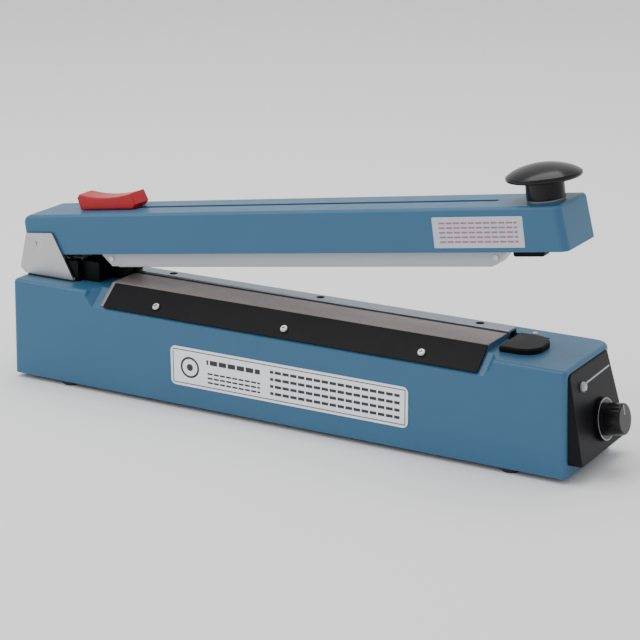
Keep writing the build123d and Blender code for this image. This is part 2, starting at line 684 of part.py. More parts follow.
# ---------------------------------------------------------------- switch and its cover
with BuildPart() as switch_cover:
    rest_x0 = x_left + rest_start
    rest_x1 = x_left + rest_end
    with BuildSketch(Plane.XY.offset(z_top)):
        with Locations(((rest_x0 + rest_x1) / 2, y_front + (rest_front + rest_back) / 2)):
            Rectangle(rest_x1 - rest_x0, rest_back - rest_front)
        fillet(vertices().group_by(Axis.X)[-1], radius=13)
        fillet(vertices().group_by(Axis.X)[0], radius=1.5)
    extrude(amount=rest_rise)
    fillet(switch_cover.faces().sort_by(Axis.Z)[-1].edges(), radius=1.2)
    with Locations(((rest_x0 + rest_x1) / 2, y_front + (rest_front + rest_back) / 2, z_top)):
        Cylinder(4, rest_rise - 2, align=(Align.CENTER, Align.CENTER, Align.MIN), mode=Mode.SUBTRACT)
finish(switch_cover.part, "switch_cover")

z_plunger_top = z_top + plunger_head_rise
plunger_foot = z_roof - 4.5
with BuildPart() as switch_plunger:
    with Locations((plunger_x, plunger_y, plunger_foot)):
        Cylinder(plunger_diameter / 2, z_plunger_top - plunger_foot, align=(Align.CENTER, Align.CENTER, Align.MIN))
    fillet(switch_plunger.faces().sort_by(Axis.Z)[-1].edges(), radius=1.2)
    with Locations((plunger_x, plunger_y, z_roof - 0.3)):
        Cylinder(plunger_diameter / 2 + 1.6, 1.4, align=(Align.CENTER, Align.CENTER, Align.MAX))
finish(switch_plunger.part, "switch_plunger")

switch_size = (28.0, 10.0, 16.0)
switch_top = plunger_foot - plunger_travel - 0.4
with BuildPart() as micro_switch:
    with Locations((plunger_x, plunger_y, switch_top)):
        Box(*switch_size, align=(Align.CENTER, Align.CENTER, Align.MAX))
    with Locations(*[(plunger_x + dx, plunger_y, switch_top - switch_size[2]) for dx in (-10, 0, 10)]):
        Box(4.8, 0.8, 7, align=(Align.CENTER, Align.CENTER, Align.MAX))
    with Locations(*[Location((plunger_x + dx, plunger_y, switch_top - 12), (90, 0, 0)) for dx in (-11, 11)]):
        Cylinder(m3 / 2 + thread_clearance, 20, mode=Mode.SUBTRACT)
finish(micro_switch.part, "micro_switch")

plate_y = plunger_y - switch_size[1] / 2 - 0.6
with BuildPart() as switch_bracket:
    with BuildSketch(Plane.XZ.offset(-plate_y)):
        with Locations((plunger_x, (z_roof + switch_top - switch_size[2]) / 2)):
            Rectangle(switch_size[0], z_roof - switch_top + switch_size[2])
        with Locations(*[(plunger_x + dx, switch_top - 12) for dx in (-11, 11)]):
            Circle(m3 / 2 + 0.2, mode=Mode.SUBTRACT)
    extrude(amount=0.6, both=True)
    with BuildSketch(Plane.XY.offset(z_roof)):
        with Locations((plunger_x, plate_y - 4.2)):
            Rectangle(switch_size[0], 8.4)
        with Locations(*[(x, switch_flange_y) for x in switch_flange_xs]):
            Circle(m3 / 2 + 0.2, mode=Mode.SUBTRACT)
    extrude(amount=-1.2)
finish(switch_bracket.part, "switch_bracket")

with BuildPart() as switch_screws:
    with Locations(*[Location((plunger_x + dx, plunger_y + switch_size[1] / 2, switch_top - 12), (-90, 0, 0))
                     for dx in (-11, 11)]):
        add(machine_screw(m3, 13, 5.4, 1.7))
    with Locations(*[Location((x, switch_flange_y, z_roof - 1.2), (180, 0, 0)) for x in switch_flange_xs]):
        add(machine_screw(m3, 5, 5.4, 1.7))
finish(switch_screws.part, "switch_screws")

# ---------------------------------------------------------------- timer console on the right end
def console_outline(grow=0.0):
    """Corners of the console's face as depth from the front face and height, moved inwards by -grow."""
    back_low = base_depth - 2.0
    back_high = base_depth - back_flare - console_back_inset_top
    return [(console_front_inset - grow, console_bottom - grow), (back_low + grow, console_bottom - grow),
            (back_high + grow, console_top + grow), (console_front_inset - grow, console_top + grow)]


lamp_stem = 6.0
shaft_bush = 7.0
with BuildPart() as control_panel:
    with BuildSketch(Plane.YZ.offset(x_right - 2)):
        with BuildLine():
            Polyline(*[(y_front + d, z_base + h) for d, h in console_outline()], close=True)
        make_face()
        fillet(vertices().group_by(Axis.Y)[0], radius=4)
        fillet(vertices().group_by(Axis.Y)[-1], radius=4)
    extrude(amount=24)
    # leaning outer face
    with BuildSketch(Plane.XZ.offset(-base_depth)):
        with BuildLine():
            Polyline((console_x(-10), z_base - 10), (console_x(90), z_base + 90), (x_right + 40, z_base + 90),
                     (x_right + 40, z_base - 10), close=True)
        make_face()
    extrude(amount=2 * base_depth, mode=Mode.SUBTRACT)
    fillet(control_panel.faces().sort_by(Axis.X)[-1].edges(), radius=1.6)
    # hollow behind the face
    with BuildSketch(panel_plane(0, 0, -console_wall)):
        with BuildLine():
            Polyline(*[(d, h / cos(console_lean)) for d, h in console_outline(-console_wall)], close=True)
        make_face()
        fillet(vertices(), radius=2)
    extrude(amount=-30, mode=Mode.SUBTRACT)
    # bosses for the screws from inside the casting
    with BuildSketch(Plane.YZ.offset(x_right)):
        with Locations(*console_screw_places):
            Circle(4.5)
    extrude(amount=8)
    # back face against the casting's drafted end
    with BuildSketch(Plane.XZ.offset(-base_depth)):
        with BuildLine():
            Polyline((end_wall_x(-10), z_base - 10), (end_wall_x(90), z_base + 90), (x_left, z_base + 90),
                     (x_left, z_base - 10), close=True)
        make_face()
    extrude(amount=2 * base_depth, mode=Mode.SUBTRACT)
    with Locations(*[(x_right, y, z) for y, z in console_screw_places]):
        Cylinder(m3 / 2 + thread_clearance, 14, rotation=(0, 90, 0), mode=Mode.SUBTRACT)
    with Locations(panel_plane(lamp_depth_from_front, lamp_height, 0)):
        Cylinder(lamp_stem / 2 + thread_clearance, 14, mode=Mode.SUBTRACT)
    with Locations(panel_plane(dial_depth_from_front, dial_height, 0)):
        Cylinder(shaft_bush / 2 + thread_clearance, 14, mode=Mode.SUBTRACT)
finish(control_panel.part, "control_panel")

# the console and the blade guard are held by the same screw
with BuildPart() as panel_and_guard_screws:
    with Locations(*[Location((end_wall_x(15) - base_wall, y, z), (0, -90, 0)) for y, z in console_screw_places]):
        add(machine_screw(m3, 9, 5.6, 1.8))
    with Locations((guard_screw_x, guard_screw_y, z_top + guard_screw_seat)):
        add(machine_screw(m3, 9, 5.6, 1.8))
finish(panel_and_guard_screws.part, "panel_and_guard_screws")

with BuildPart() as indicator_lamp:
    with BuildSketch(panel_plane(lamp_depth_from_front, lamp_height, 0)):
        Circle(lamp_diameter / 2)
    extrude(amount=2.6)
    fillet(indicator_lamp.faces().sort_by(Axis.X)[-1].edges(), radius=1.8)
    with BuildSketch(panel_plane(lamp_depth_from_front, lamp_height, 0)):
        Circle(lamp_stem / 2)
    extrude(amount=-16)
finish(indicator_lamp.part, "indicator_lamp")

with BuildPart() as potentiometer:
    with BuildSketch(panel_plane(dial_depth_from_front, dial_height, -console_wall)):
        Circle(8.5)
    extrude(amount=-9)
    with BuildSketch(panel_plane(dial_depth_from_front, dial_height, -console_wall)):
        Circle(shaft_bush / 2)
    extrude(amount=console_wall + 3.2)
    with BuildSketch(panel_plane(dial_depth_from_front, dial_height, -console_wall - 6)):
        Circle(shaft_diameter / 2 + running_clearance)
    extrude(amount=20, mode=Mode.SUBTRACT)
finish(potentiometer.part, "potentiometer")

with BuildPart() as potentiometer_nut:
    with BuildSketch(panel_plane(dial_depth_from_front, dial_height, 0)):
        RegularPolygon(5.4, 6)
        Circle(shaft_bush / 2 + thread_clearance, mode=Mode.SUBTRACT)
    extrude(amount=2.0)
finish(potentiometer_nut.part, "potentiometer_nut")

with BuildPart() as potentiometer_shaft:
    with BuildSketch(panel_plane(dial_depth_from_front, dial_height, -console_wall - 5.7)):
        Circle(shaft_diameter / 2)
    extrude(amount=console_wall + 5.7 + dial_body_height - 1)
finish(potentiometer_shaft.part, "potentiometer_shaft")

with BuildPart() as timer_knob:
    with BuildSketch(panel_plane(dial_depth_from_front, dial_height, dial_gap)):
        Circle(dial_skirt_diameter / 2)
    extrude(amount=dial_skirt_height)
    with BuildSketch(panel_plane(dial_depth_from_front, dial_height, dial_gap)):
        Circle(dial_body_diameter / 2)
    extrude(amount=dial_body_height, taper=2)
    fillet(timer_knob.faces().sort_by(Axis.X)[-1].edges(), radius=1.2)
    with BuildSketch(panel_plane(dial_depth_from_front, dial_height, dial_gap)):
        Circle(7.0)
    extrude(amount=4.0, mode=Mode.SUBTRACT)
    with BuildSketch(panel_plane(dial_depth_from_front, dial_height, dial_gap)):
        Circle(shaft_diameter / 2)
    extrude(amount=dial_body_height - 1.5, mode=Mode.SUBTRACT)
finish(timer_knob.part, "timer_knob")

# ---------------------------------------------------------------- fuse, cord grommet and labels
with BuildPart() as fuse_holder:
    with BuildSketch(rear_plane(fuse_x, rear_height, 0)):
        Circle(8)
    extrude(amount=1.8)
    with BuildSketch(rear_plane(fuse_x, rear_height, 0)):
        Circle(fuse_diameter / 2)
    extrude(amount=-24)
finish(fuse_holder.part, "fuse_holder")

with BuildPart() as fuse_cap:
    with BuildSketch(rear_plane(fuse_x, rear_height, 1.8)):
        Circle(6.2)
    extrude(amount=6)
    with BuildSketch(rear_plane(fuse_x, rear_height, 6.8)):
        Rectangle(9, 1.4)
    extrude(amount=2, mode=Mode.SUBTRACT)
finish(fuse_cap.part, "fuse_cap")

cord_hole_diameter = 7.0
with BuildPart() as cord_grommet:
    with BuildSketch(rear_plane(grommet_x, rear_height, 0)):
        Circle(8)
    extrude(amount=2.5)
    with BuildSketch(rear_plane(grommet_x, rear_height, -base_wall - 0.4)):
        Circle(7.5)
    extrude(amount=-2.0)
    with BuildSketch(rear_plane(grommet_x, rear_height, -base_wall - 0.4)):
        Circle(grommet_neck / 2)
    extrude(amount=base_wall + 0.4)
    with BuildSketch(rear_plane(grommet_x, rear_height, -10)):
        Circle(cord_hole_diameter / 2)
    extrude(amount=16, mode=Mode.SUBTRACT)
finish(cord_grommet.part, "cord_grommet")

label_length = 189.0
label_height = 28.6
label_thickness = 0.6
with BuildPart() as nameplate:
    with BuildSketch(Plane.XZ.offset(-y_front)):
        with Locations((x_left + 139 + label_length / 2, z_base + 14.8 + label_height / 2)):
            Rectangle(label_length, label_height)
            fillet(vertices(), radius=4)
    extrude(amount=label_thickness)
finish(nameplate.part, "nameplate")

# ---------------------------------------------------------------- transformer and timer board
core_leg = 22.0
core_window = 12.0
core_yoke = 11.0
core_height = 50.0
core_stack = 38.0
core_width = core_leg + 2 * core_window + 2 * core_yoke
coil_gap = 0.5
with BuildPart() as transformer_core:
    with BuildSketch(Plane.XZ.offset(-(transformer_y + core_stack / 2))):
        with Locations((transformer_x, z_cover_top + core_height / 2)):
            Rectangle(core_width, core_height)
            with GridLocations(core_leg + core_window, 1, 2, 1):
                Rectangle(core_window, core_height - 2 * core_yoke, mode=Mode.SUBTRACT)
    extrude(amount=core_stack)
finish(transformer_core.part, "transformer_core")

with BuildPart() as transformer_coil:
    with BuildSketch(Plane.XY.offset(z_cover_top + core_yoke + coil_gap)):
        with Locations((transformer_x, transformer_y)):
            Rectangle(core_leg + 2 * core_window - 2 * coil_gap, core_stack + 2 * core_window)
            fillet(vertices(), radius=8)
            Rectangle(core_leg + 0.2, core_stack + 0.2, mode=Mode.SUBTRACT)
    extrude(amount=core_height - 2 * core_yoke - 2 * coil_gap)
finish(transformer_coil.part, "transformer_coil")

strap = 1.2
strap_foot = 10.0
strap_width = 26.0
with BuildPart() as transformer_frame:
    with BuildSketch(Plane.XZ.offset(-(transformer_y + strap_width / 2))):
        with Locations((transformer_x, z_cover_top + (core_height + strap) / 2)):
            Rectangle(core_width + 2 * strap, core_height + strap)
        with Locations((transformer_x, z_cover_top + strap / 2)):
            Rectangle(core_width + 2 * strap + 2 * strap_foot, strap)
        with Locations((transformer_x, z_cover_top + core_height / 2)):
            Rectangle(core_width, core_height, mode=Mode.SUBTRACT)
    extrude(amount=strap_width)
    with Locations((transformer_x, transformer_y, z_cover_top)):
        with GridLocations(frame_foot_span, 1, 2, 1):
            Cylinder(m4 / 2 + 0.2, 6, mode=Mode.SUBTRACT)
finish(transformer_frame.part, "transformer_frame")

with BuildPart() as transformer_screws:
    with Locations((transformer_x, transformer_y, z_cover_top + strap)):
        with GridLocations(frame_foot_span, 1, 2, 1):
            add(machine_screw(m4, 4.4, 7, 2.2))
finish(transformer_screws.part, "transformer_screws")

z_board = z_cover_top + standoff_height
with BuildPart() as timer_board:
    with BuildSketch(Plane.XY.offset(z_board)):
        with Locations((board_x, board_y)):
            Rectangle(*board_size)
            with GridLocations(board_size[0] - 2 * board_inset, board_size[1] - 2 * board_inset, 2, 2):
                Circle(m3 / 2 + 0.2, mode=Mode.SUBTRACT)
    extrude(amount=1.6)
finish(timer_board.part, "timer_board")

with BuildPart() as board_standoffs:
    with BuildSketch(Plane.XY.offset(z_cover_top)):
        with Locations((board_x, board_y)):
            with GridLocations(board_size[0] - 2 * board_inset, board_size[1] - 2 * board_inset, 2, 2):
                RegularPolygon(3.2, 6)
                Circle(m3 / 2 + thread_clearance, mode=Mode.SUBTRACT)
    extrude(amount=standoff_height)
finish(board_standoffs.part, "board_standoffs")

# the feet and the board are held by the same screw
with BuildPart() as foot_and_board_screws:
    with Locations((board_x, board_y, z_board + 1.6)):
        with GridLocations(board_size[0] - 2 * board_inset, board_size[1] - 2 * board_inset, 2, 2):
            add(machine_screw(m3, 6, 5.6, 1.7))
    with Locations(*[Location((x, y, 2.4), (180, 0, 0)) for x, y in foot_places]):
        add(machine_screw(m3, 6, 5.6, 1.7))
finish(foot_and_board_screws.part, "foot_and_board_screws")

with BuildPart() as timer_relay:
    with Locations((board_x - 14, board_y + 8, z_board + 1.6)):
        Box(29, 13, 25, align=(Align.CENTER, Align.CENTER, Align.MIN))
    fillet(timer_relay.edges().filter_by(Axis.Z), radius=1)
finish(timer_relay.part, "timer_relay")

with BuildPart() as board_capacitors:
    with Locations((board_x + 16, board_y + 8, z_board + 1.6), (board_x + 16, board_y - 8, z_board + 1.6)):
        Cylinder(5, 14, align=(Align.CENTER, Align.CENTER, Align.MIN))
    fillet(board_capacitors.faces().sort_by(Axis.Z)[-2:].edges(), radius=0.8)
finish(board_capacitors.part, "board_capacitors")

# ---------------------------------------------------------------- arm
web_edge = y_arm - 2.5       # back edge of the web that carries the pad
bay_start = 24.0             # hinge pin to the open bay that the blade carrier runs in
bay_end = 366.0
nose_draft = 3.0
cavity_start = -arm_tail + arm_wall
cavity_end = arm_reach - arm_wall - nose_draft
pad_screw_stations = [80.0, 170.0, 260.0, 350.0]
striker_start = plunger_station - pin_inset - striker_length / 2 - 1.5
striker_screw_stations = [striker_start + 6, striker_start + striker_length - 6]
striker_y = arm_back - arm_wall - striker_width / 2 - 1.3
knob_screw_diameter = 6.0
arm_along = Axis((x_pin, y_arm, z_pin), (cos(lean), 0, sin(lean)))
arm_up = Axis((x_pin, y_arm, z_pin), (-sin(lean), 0, cos(lean)))

with BuildPart() as arm_casting:
    with BuildSketch(arm_side(arm_front)):
        with BuildLine():
            Polyline((-arm_tail, -arm_under), (arm_reach, -arm_under), (arm_reach - nose_draft, arm_above),
                     (-arm_tail, arm_above), close=True)
        make_face()
        fillet(vertices().group_by(Axis.X)[0].sort_by(Axis.Y)[-1], radius=arm_tail_radius)
    extrude(amount=-arm_width)
    fillet(arm_casting.faces().sort_by(arm_along)[-1].edges().group_by(Axis.Y)[0], radius=arm_front_corner)
    fillet(arm_casting.faces().sort_by(arm_along)[-1].edges().group_by(Axis.Y)[-1], radius=arm_back_corner)
    fillet(arm_casting.faces().sort_by(arm_up)[-1].edges().sort_by(arm_along)[1:], radius=arm_edge_radius)
    # closed box inside, then the long bay opened behind the pad web
    with BuildSketch(arm_level(-arm_under + arm_web)):
        with Locations(((cavity_start + cavity_end) / 2, y_arm)):
            Rectangle(cavity_end - cavity_start, arm_width - 2 * arm_wall)
            fillet(vertices(), radius=2)
    extrude(amount=arm_under - arm_web + arm_above - arm_roof, mode=Mode.SUBTRACT)
    with BuildSketch(arm_level(-arm_under - 1)):
        with Locations(((bay_start + bay_end) / 2, (web_edge + arm_back - arm_wall) / 2)):
            Rectangle(bay_end - bay_start, arm_back - arm_wall - web_edge)
    extrude(amount=arm_web + 2, mode=Mode.SUBTRACT)
    # slot along the top for the cutter grip
    with BuildSketch(arm_level(arm_above + 1)):
        with Locations(((slot_start + slot_end) / 2, y_arm)):
            SlotOverall(slot_end - slot_start, slot_width)
    extrude(amount=-arm_roof - 2, mode=Mode.SUBTRACT)
    # boss under the press knob
    with BuildSketch(arm_level(-arm_under + arm_web / 2)):
        with Locations((knob_station, y_arm)):
            Circle(8)
    extrude(amount=arm_under + arm_above - arm_web / 2 - arm_roof / 2)
    with Locations(arm_level(0)):
        with Locations((knob_station, y_arm, 0)):
            Cylinder(knob_screw_diameter / 2 + 0.2, 80, mode=Mode.SUBTRACT)
        with Locations(*[(x, pad_middle, -arm_under) for x in pad_screw_stations],
                       *[(x, striker_y, -arm_under) for x in striker_screw_stations]):
            Cylinder(m3 / 2 + thread_clearance, 12, mode=Mode.SUBTRACT)
    with Locations(Location((x_pin, y_arm, z_pin), (90, 0, 0))):
        Cylinder(bush_diameter / 2 + 0.01, arm_width + 4, mode=Mode.SUBTRACT)
finish(arm_casting.part, "arm_casting")

with BuildPart() as hinge_bushes:
    for side in (-1, 1):
        with Locations(Location((x_pin, y_arm + side * arm_width / 2, z_pin), (-90 * side, 0, 0))):
            Cylinder(bush_diameter / 2, arm_wall, align=(Align.CENTER, Align.CENTER, Align.MAX))
            Cylinder(bush_diameter / 2 + 1.5, bush_flange, align=(Align.CENTER, Align.CENTER, Align.MIN))
            Cylinder(pin_diameter / 2 + running_clearance, 20, mode=Mode.SUBTRACT)
finish(hinge_bushes.part, "hinge_bushes")

# ---------------------------------------------------------------- sealing pad
holder_drop = pad_drop - rubber_proud
rubber_depth = 8.4
rubber_start = pad_start + pad_taper_start + 3.5
rubber_end = pad_end - pad_taper_end - 3.5
with BuildPart() as pad_holder:
    with BuildSketch(arm_side(pad_middle - pad_width / 2)):
        with BuildLine():
            Polyline((pad_start, -arm_under), (pad_end, -arm_under),
                     (pad_end - pad_taper_end, -arm_under - holder_drop),
                     (pad_start + pad_taper_start, -arm_under - holder_drop), close=True)
        make_face()
    extrude(amount=-pad_width)
    with BuildSketch(arm_level(-arm_under - holder_drop - 1)):
        with Locations(((rubber_start + rubber_end) / 2, pad_middle)):
            Rectangle(rubber_end - rubber_start, rubber_width)
    extrude(amount=1 + rubber_depth - rubber_proud, mode=Mode.SUBTRACT)
    with Locations(arm_level(-arm_under)):
        with Locations(*[(x, pad_middle, 0) for x in pad_screw_stations]):
            Cylinder(m3 / 2 + 0.2, 40, mode=Mode.SUBTRACT)
    for station in (pad_start + 9.5, pad_end - 9.5):
        with Locations(arm_side(pad_middle)):
            with Locations((station, -arm_under - 4.6, 0)):
                Cylinder(1.25, pad_width + 2, mode=Mode.SUBTRACT)
finish(pad_holder.part, "pad_holder")

with BuildPart() as pad_rivets:
    for station in (pad_start + 9.5, pad_end - 9.5):
        with Locations(arm_side(pad_middle)):
            with Locations((station, -arm_under - 4.6, 0)):
                Cylinder(1.2, pad_width)
                for side in (-1, 1):
                    with Locations((0, 0, side * (pad_width / 2 + 0.3))):
                        Cylinder(1.9, 0.6)
finish(pad_rivets.part, "pad_rivets")

with BuildPart() as silicone_pad:
    with BuildSketch(arm_level(-arm_under - pad_drop)):
        with Locations(((rubber_start + rubber_end) / 2, pad_middle)):
            Rectangle(rubber_end - rubber_start - 0.4, rubber_width)
    extrude(amount=rubber_depth - 2.0)
finish(silicone_pad.part, "silicone_pad")

# ---------------------------------------------------------------- switch striker
striker_foot = z_plunger_top + closed_gap - z_pin
with BuildPart() as switch_striker:
    with BuildSketch(arm_side(striker_y - striker_width / 2)):
        with BuildLine():
            Polyline((striker_start, -arm_under), (striker_start + striker_length, -arm_under),
                     (striker_start + striker_length - 2, striker_foot), (striker_start + 1, striker_foot),
                     close=True)
        make_face()
        fillet(vertices().group_by(Axis.Y)[0], radius=1.5)
    extrude(amount=-striker_width)
    with Locations(arm_level(striker_foot)):
        with Locations(*[Location((x, striker_y, 0), (180, 0, 0)) for x in striker_screw_stations]):
            CounterBoreHole(m3 / 2 + 0.2, 3.1, -arm_under - striker_foot - 4)
finish(switch_striker.part, "switch_striker")

channel_floor = -arm_under - pad_drop + rubber_depth
with BuildPart() as arm_screws:
    with Locations(arm_level(-arm_under - 4)):
        with Locations(*[Location((x, striker_y, 0), (180, 0, 0)) for x in striker_screw_stations]):
            add(machine_screw(m3, 8, 5.4, 1.7))
    with Locations(arm_level(channel_floor)):
        with Locations(*[Location((x, pad_middle, 0), (180, 0, 0)) for x in pad_screw_stations]):
            add(machine_screw(m3, 8, 5.4, 1.7))
finish(arm_screws.part, "arm_screws")

# ---------------------------------------------------------------- press knob and arm label
washer_height = 1.0
with BuildPart() as knob_washer:
    with BuildSketch(arm_level(arm_above)):
        with Locations((knob_station, y_arm)):
            Circle(neck_diameter / 2 - 1.0)
            Circle(knob_screw_diameter / 2 + 0.2, mode=Mode.SUBTRACT)
    extrude(amount=washer_height)
finish(knob_washer.part, "knob_washer")

knob_base = arm_above + washer_height
knob_hole = knob_screw_diameter / 2 + thread_clearance
knob_thread = 14.0
knob_top = arm_above + knob_height
neck_radius = neck_diameter / 2
neck_top = knob_base + neck_height
cap_radius = cap_diameter / 2
knob_foot = (x_pin + knob_station * cos(lean), y_arm, z_pin + knob_station * sin(lean))
with BuildPart() as press_knob:
    with BuildSketch(Plane(origin=knob_foot, x_dir=(cos(lean), 0, sin(lean)), z_dir=(0, -1, 0))):
        with BuildLine():
            Polyline((0, knob_top), (0, knob_base + knob_thread), (knob_hole, knob_base + knob_thread),
                     (knob_hole, knob_base), (neck_radius, knob_base), (neck_radius, neck_top - 1))
            ThreePointArc((neck_radius, neck_top - 1), (neck_radius - 0.3, neck_top - 0.3), (neck_radius - 1, neck_top))
            Polyline((neck_radius - 1, neck_top), (neck_radius - 2.2, neck_top + 0.3), (cap_radius - 3, neck_top + 0.7))
            ThreePointArc((cap_radius - 3, neck_top + 0.7), (cap_radius, neck_top + 2.6),
                          (cap_radius - 1.2, neck_top + 4.2))
            Spline((cap_radius - 1.2, neck_top + 4.2), (cap_radius * 0.56, neck_top + 8.6), (0, knob_top),
                   tangents=((-0.8, 0.6), (-1, 0)))
        make_face()
    revolve(axis=Axis(knob_foot, (-sin(lean), 0, cos(lean))))
finish(press_knob.part, "press_knob")

with BuildPart() as press_knob_screw:
    with Locations(arm_level(-arm_under)):
        with Locations(Location((knob_station, y_arm, 0), (180, 0, 0))):
            add(machine_screw(knob_screw_diameter, arm_under + knob_base + knob_thread - 2, 10, 2.6))
finish(press_knob_screw.part, "press_knob_screw")

arm_label_size = (65.0, 20.5)
arm_label_start = 330.3
arm_label_low = -5.7
with BuildPart() as arm_label:
    with BuildSketch(arm_side(arm_front)):
        with Locations((arm_label_start + arm_label_size[0] / 2, arm_label_low + arm_label_size[1] / 2)):
            Rectangle(*arm_label_size)
            fillet(vertices(), radius=0.8)
    extrude(amount=0.3)
finish(arm_label.part, "arm_label")

# ---------------------------------------------------------------- slide cutter
grip_gap = 0.4
grip_base = arm_above + grip_gap
carrier_top = arm_above - arm_roof - 0.5
carrier_bottom = -arm_under + 3.3
carrier_back = blade_y - blade_thickness / 2
carrier_front = web_edge + 0.9
stem_x0 = slot_start + stem_clearance + slot_width / 2
stem_length = 22.0
blade_start = carrier_start + 4.0
blade_tip = z_trough + blade_clear_of_floor - z_pin
blade_middle = blade_start + blade_width / 2
screw_up = 4.0

with BuildPart() as cutter_grip:
    with BuildSketch(arm_side(y_arm - grip_width / 2)):
        with BuildLine():
            g0 = grip_start
            g1 = grip_start + grip_length
            Polyline((g0 + 2, grip_base), (g0, grip_base + 8.8), (g0 + 2.2, grip_base + grip_height))
            ThreePointArc((g0 + 2.2, grip_base + grip_height), ((g0 + g1) / 2 + 1, grip_base + grip_height - 2.8),
                          (g1 - 3.0, grip_base + grip_height))
            Polyline((g1 - 3.0, grip_base + grip_height), (g1, grip_base + 3.4), (g1 - 3.0, grip_base),
                     (g0 + 2, grip_base))
        make_face()
    extrude(amount=-grip_width)
    with BuildSketch(arm_level(carrier_top)):
        with Locations((stem_x0 + stem_length / 2, y_arm)):
            SlotOverall(stem_length, slot_width - 2 * stem_clearance)
    extrude(amount=grip_base - carrier_top + 1)
    with Locations(arm_level(carrier_top)):
        with Locations((stem_x0 + stem_length / 2, y_arm, 0)):
            Cylinder(1.25, 20, mode=Mode.SUBTRACT)
    for grip_side in (0, -1):
        fillet(cutter_grip.faces().sort_by(Axis.Y)[grip_side].edges(), radius=1.0)
finish(cutter_grip.part, "cutter_grip")

with BuildPart() as blade_carrier:
    with BuildSketch(arm_level(carrier_bottom)):
        with Locations((carrier_start + carrier_length / 2, (carrier_front + carrier_back) / 2)):
            Rectangle(carrier_length, carrier_back - carrier_front)
            fillet(vertices().group_by(Axis.Y)[0], radius=1)
        with Locations((stem_x0 + stem_length / 2, y_arm)):
            Circle(1.4, mode=Mode.SUBTRACT)
    extrude(amount=carrier_top - carrier_bottom)
    with Locations(arm_side(blade_y)):
        with Locations((blade_middle + 4, screw_up, 0)):
            Cylinder(1.3, 16, mode=Mode.SUBTRACT)
finish(blade_carrier.part, "blade_carrier")

with BuildPart() as cutter_blade:
    with BuildSketch(arm_side(carrier_back)):
        with BuildLine():
            Polyline((blade_start, 10), (blade_start + blade_width, 10), (blade_start + blade_width, blade_tip + 7),
                     (blade_middle, blade_tip), (blade_start, blade_tip + 7), close=True)
        make_face()
        with Locations((blade_middle + 4, screw_up)):
            Circle(1.6, mode=Mode.SUBTRACT)
    extrude(amount=-blade_thickness)
finish(cutter_blade.part, "cutter_blade")

back_of_blade = arm_side(carrier_back + blade_thickness)
with BuildPart() as cutter_screws:
    with Locations(Plane(origin=back_of_blade.origin, x_dir=back_of_blade.x_dir, z_dir=(0, 1, 0))):
        with Locations((blade_middle + 4, -screw_up, 0)):
            add(machine_screw(2.5, 7, 4.8, 1.5))
    with Locations(arm_level(carrier_bottom)):
        with Locations(Location((stem_x0 + stem_length / 2, y_arm, 0), (180, 0, 0))):
            add(machine_screw(2.4, carrier_top - carrier_bottom + 8, 4.8, 0.5))
finish(cutter_screws.part, "cutter_screws")
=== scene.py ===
"""Looks of a tabletop impulse sealer: blue enamelled castings, black fittings, a heated bed under release
cloth, and a red slide cutter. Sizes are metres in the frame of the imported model, except where a value is
given in millimetres and multiplied by MM: +X is towards the timer end, -Y the front, +Z up."""

import json
from math import cos, pi, radians, sin

import bpy
from mathutils import Matrix, Vector


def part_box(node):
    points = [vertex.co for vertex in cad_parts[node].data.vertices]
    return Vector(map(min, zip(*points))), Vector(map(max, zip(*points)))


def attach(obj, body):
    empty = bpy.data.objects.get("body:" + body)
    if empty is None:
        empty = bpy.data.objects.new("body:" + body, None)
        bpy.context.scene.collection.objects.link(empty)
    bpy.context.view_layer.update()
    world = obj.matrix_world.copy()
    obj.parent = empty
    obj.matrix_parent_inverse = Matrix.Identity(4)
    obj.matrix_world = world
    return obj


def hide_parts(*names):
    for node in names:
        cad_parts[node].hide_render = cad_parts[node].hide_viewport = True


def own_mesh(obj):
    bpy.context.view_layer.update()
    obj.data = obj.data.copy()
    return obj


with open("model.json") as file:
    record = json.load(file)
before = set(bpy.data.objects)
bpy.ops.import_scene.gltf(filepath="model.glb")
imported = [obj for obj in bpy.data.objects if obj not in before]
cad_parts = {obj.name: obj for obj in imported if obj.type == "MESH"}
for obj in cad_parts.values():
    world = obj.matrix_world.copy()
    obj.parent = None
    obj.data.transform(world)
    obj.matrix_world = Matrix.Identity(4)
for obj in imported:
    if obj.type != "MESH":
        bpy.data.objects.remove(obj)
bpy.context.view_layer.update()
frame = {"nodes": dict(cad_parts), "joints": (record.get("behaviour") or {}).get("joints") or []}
MM = 0.001
joints = {joint["name"]: joint for joint in frame["joints"]}
HINGE_PIN = Vector(joints["arm_hinge"]["pos_m"])
DIAL_PIN = Vector(joints["timer_turn"]["pos_m"])
OPEN_ANGLE = radians(joints["arm_hinge"]["range_deg"][1])   # the arm stands open by this much at rest
CONSOLE_LEAN = radians(10.1441)                             # the console face leans back by this much


# ---------------------------------------------------------------- camera, floor and lights
CAMERA_STAND = (696.9, -1187.7, 494.2)     # millimetres
CAMERA_AIM = (-7.33, 19.7, 60.7)
CAMERA_ROLL = radians(-0.26)
LENS_LENGTH = 116.2
FLOOR_SIZE = 12.0
FLOOR_DROP = 0.0002                        # the floor lies this far under the feet
SKY_STRENGTH = 0.85


def place_camera():
    """A long lens in front of the timer end, a little above the arm."""
    lens = bpy.data.cameras.new("bench_camera")
    lens.lens = LENS_LENGTH
    lens.sensor_width = 36.0
    lens.clip_start = 0.1
    camera = bpy.data.objects.new("bench_camera", lens)
    stand = Vector(CAMERA_STAND) * MM
    aim = Vector(CAMERA_AIM) * MM
    turn = (aim - stand).to_track_quat("-Z", "Y").to_matrix().to_4x4()
    camera.matrix_world = Matrix.Translation(stand) @ turn @ Matrix.Rotation(CAMERA_ROLL, 4, "Z")
    bpy.context.collection.objects.link(camera)
    bpy.context.scene.camera = camera


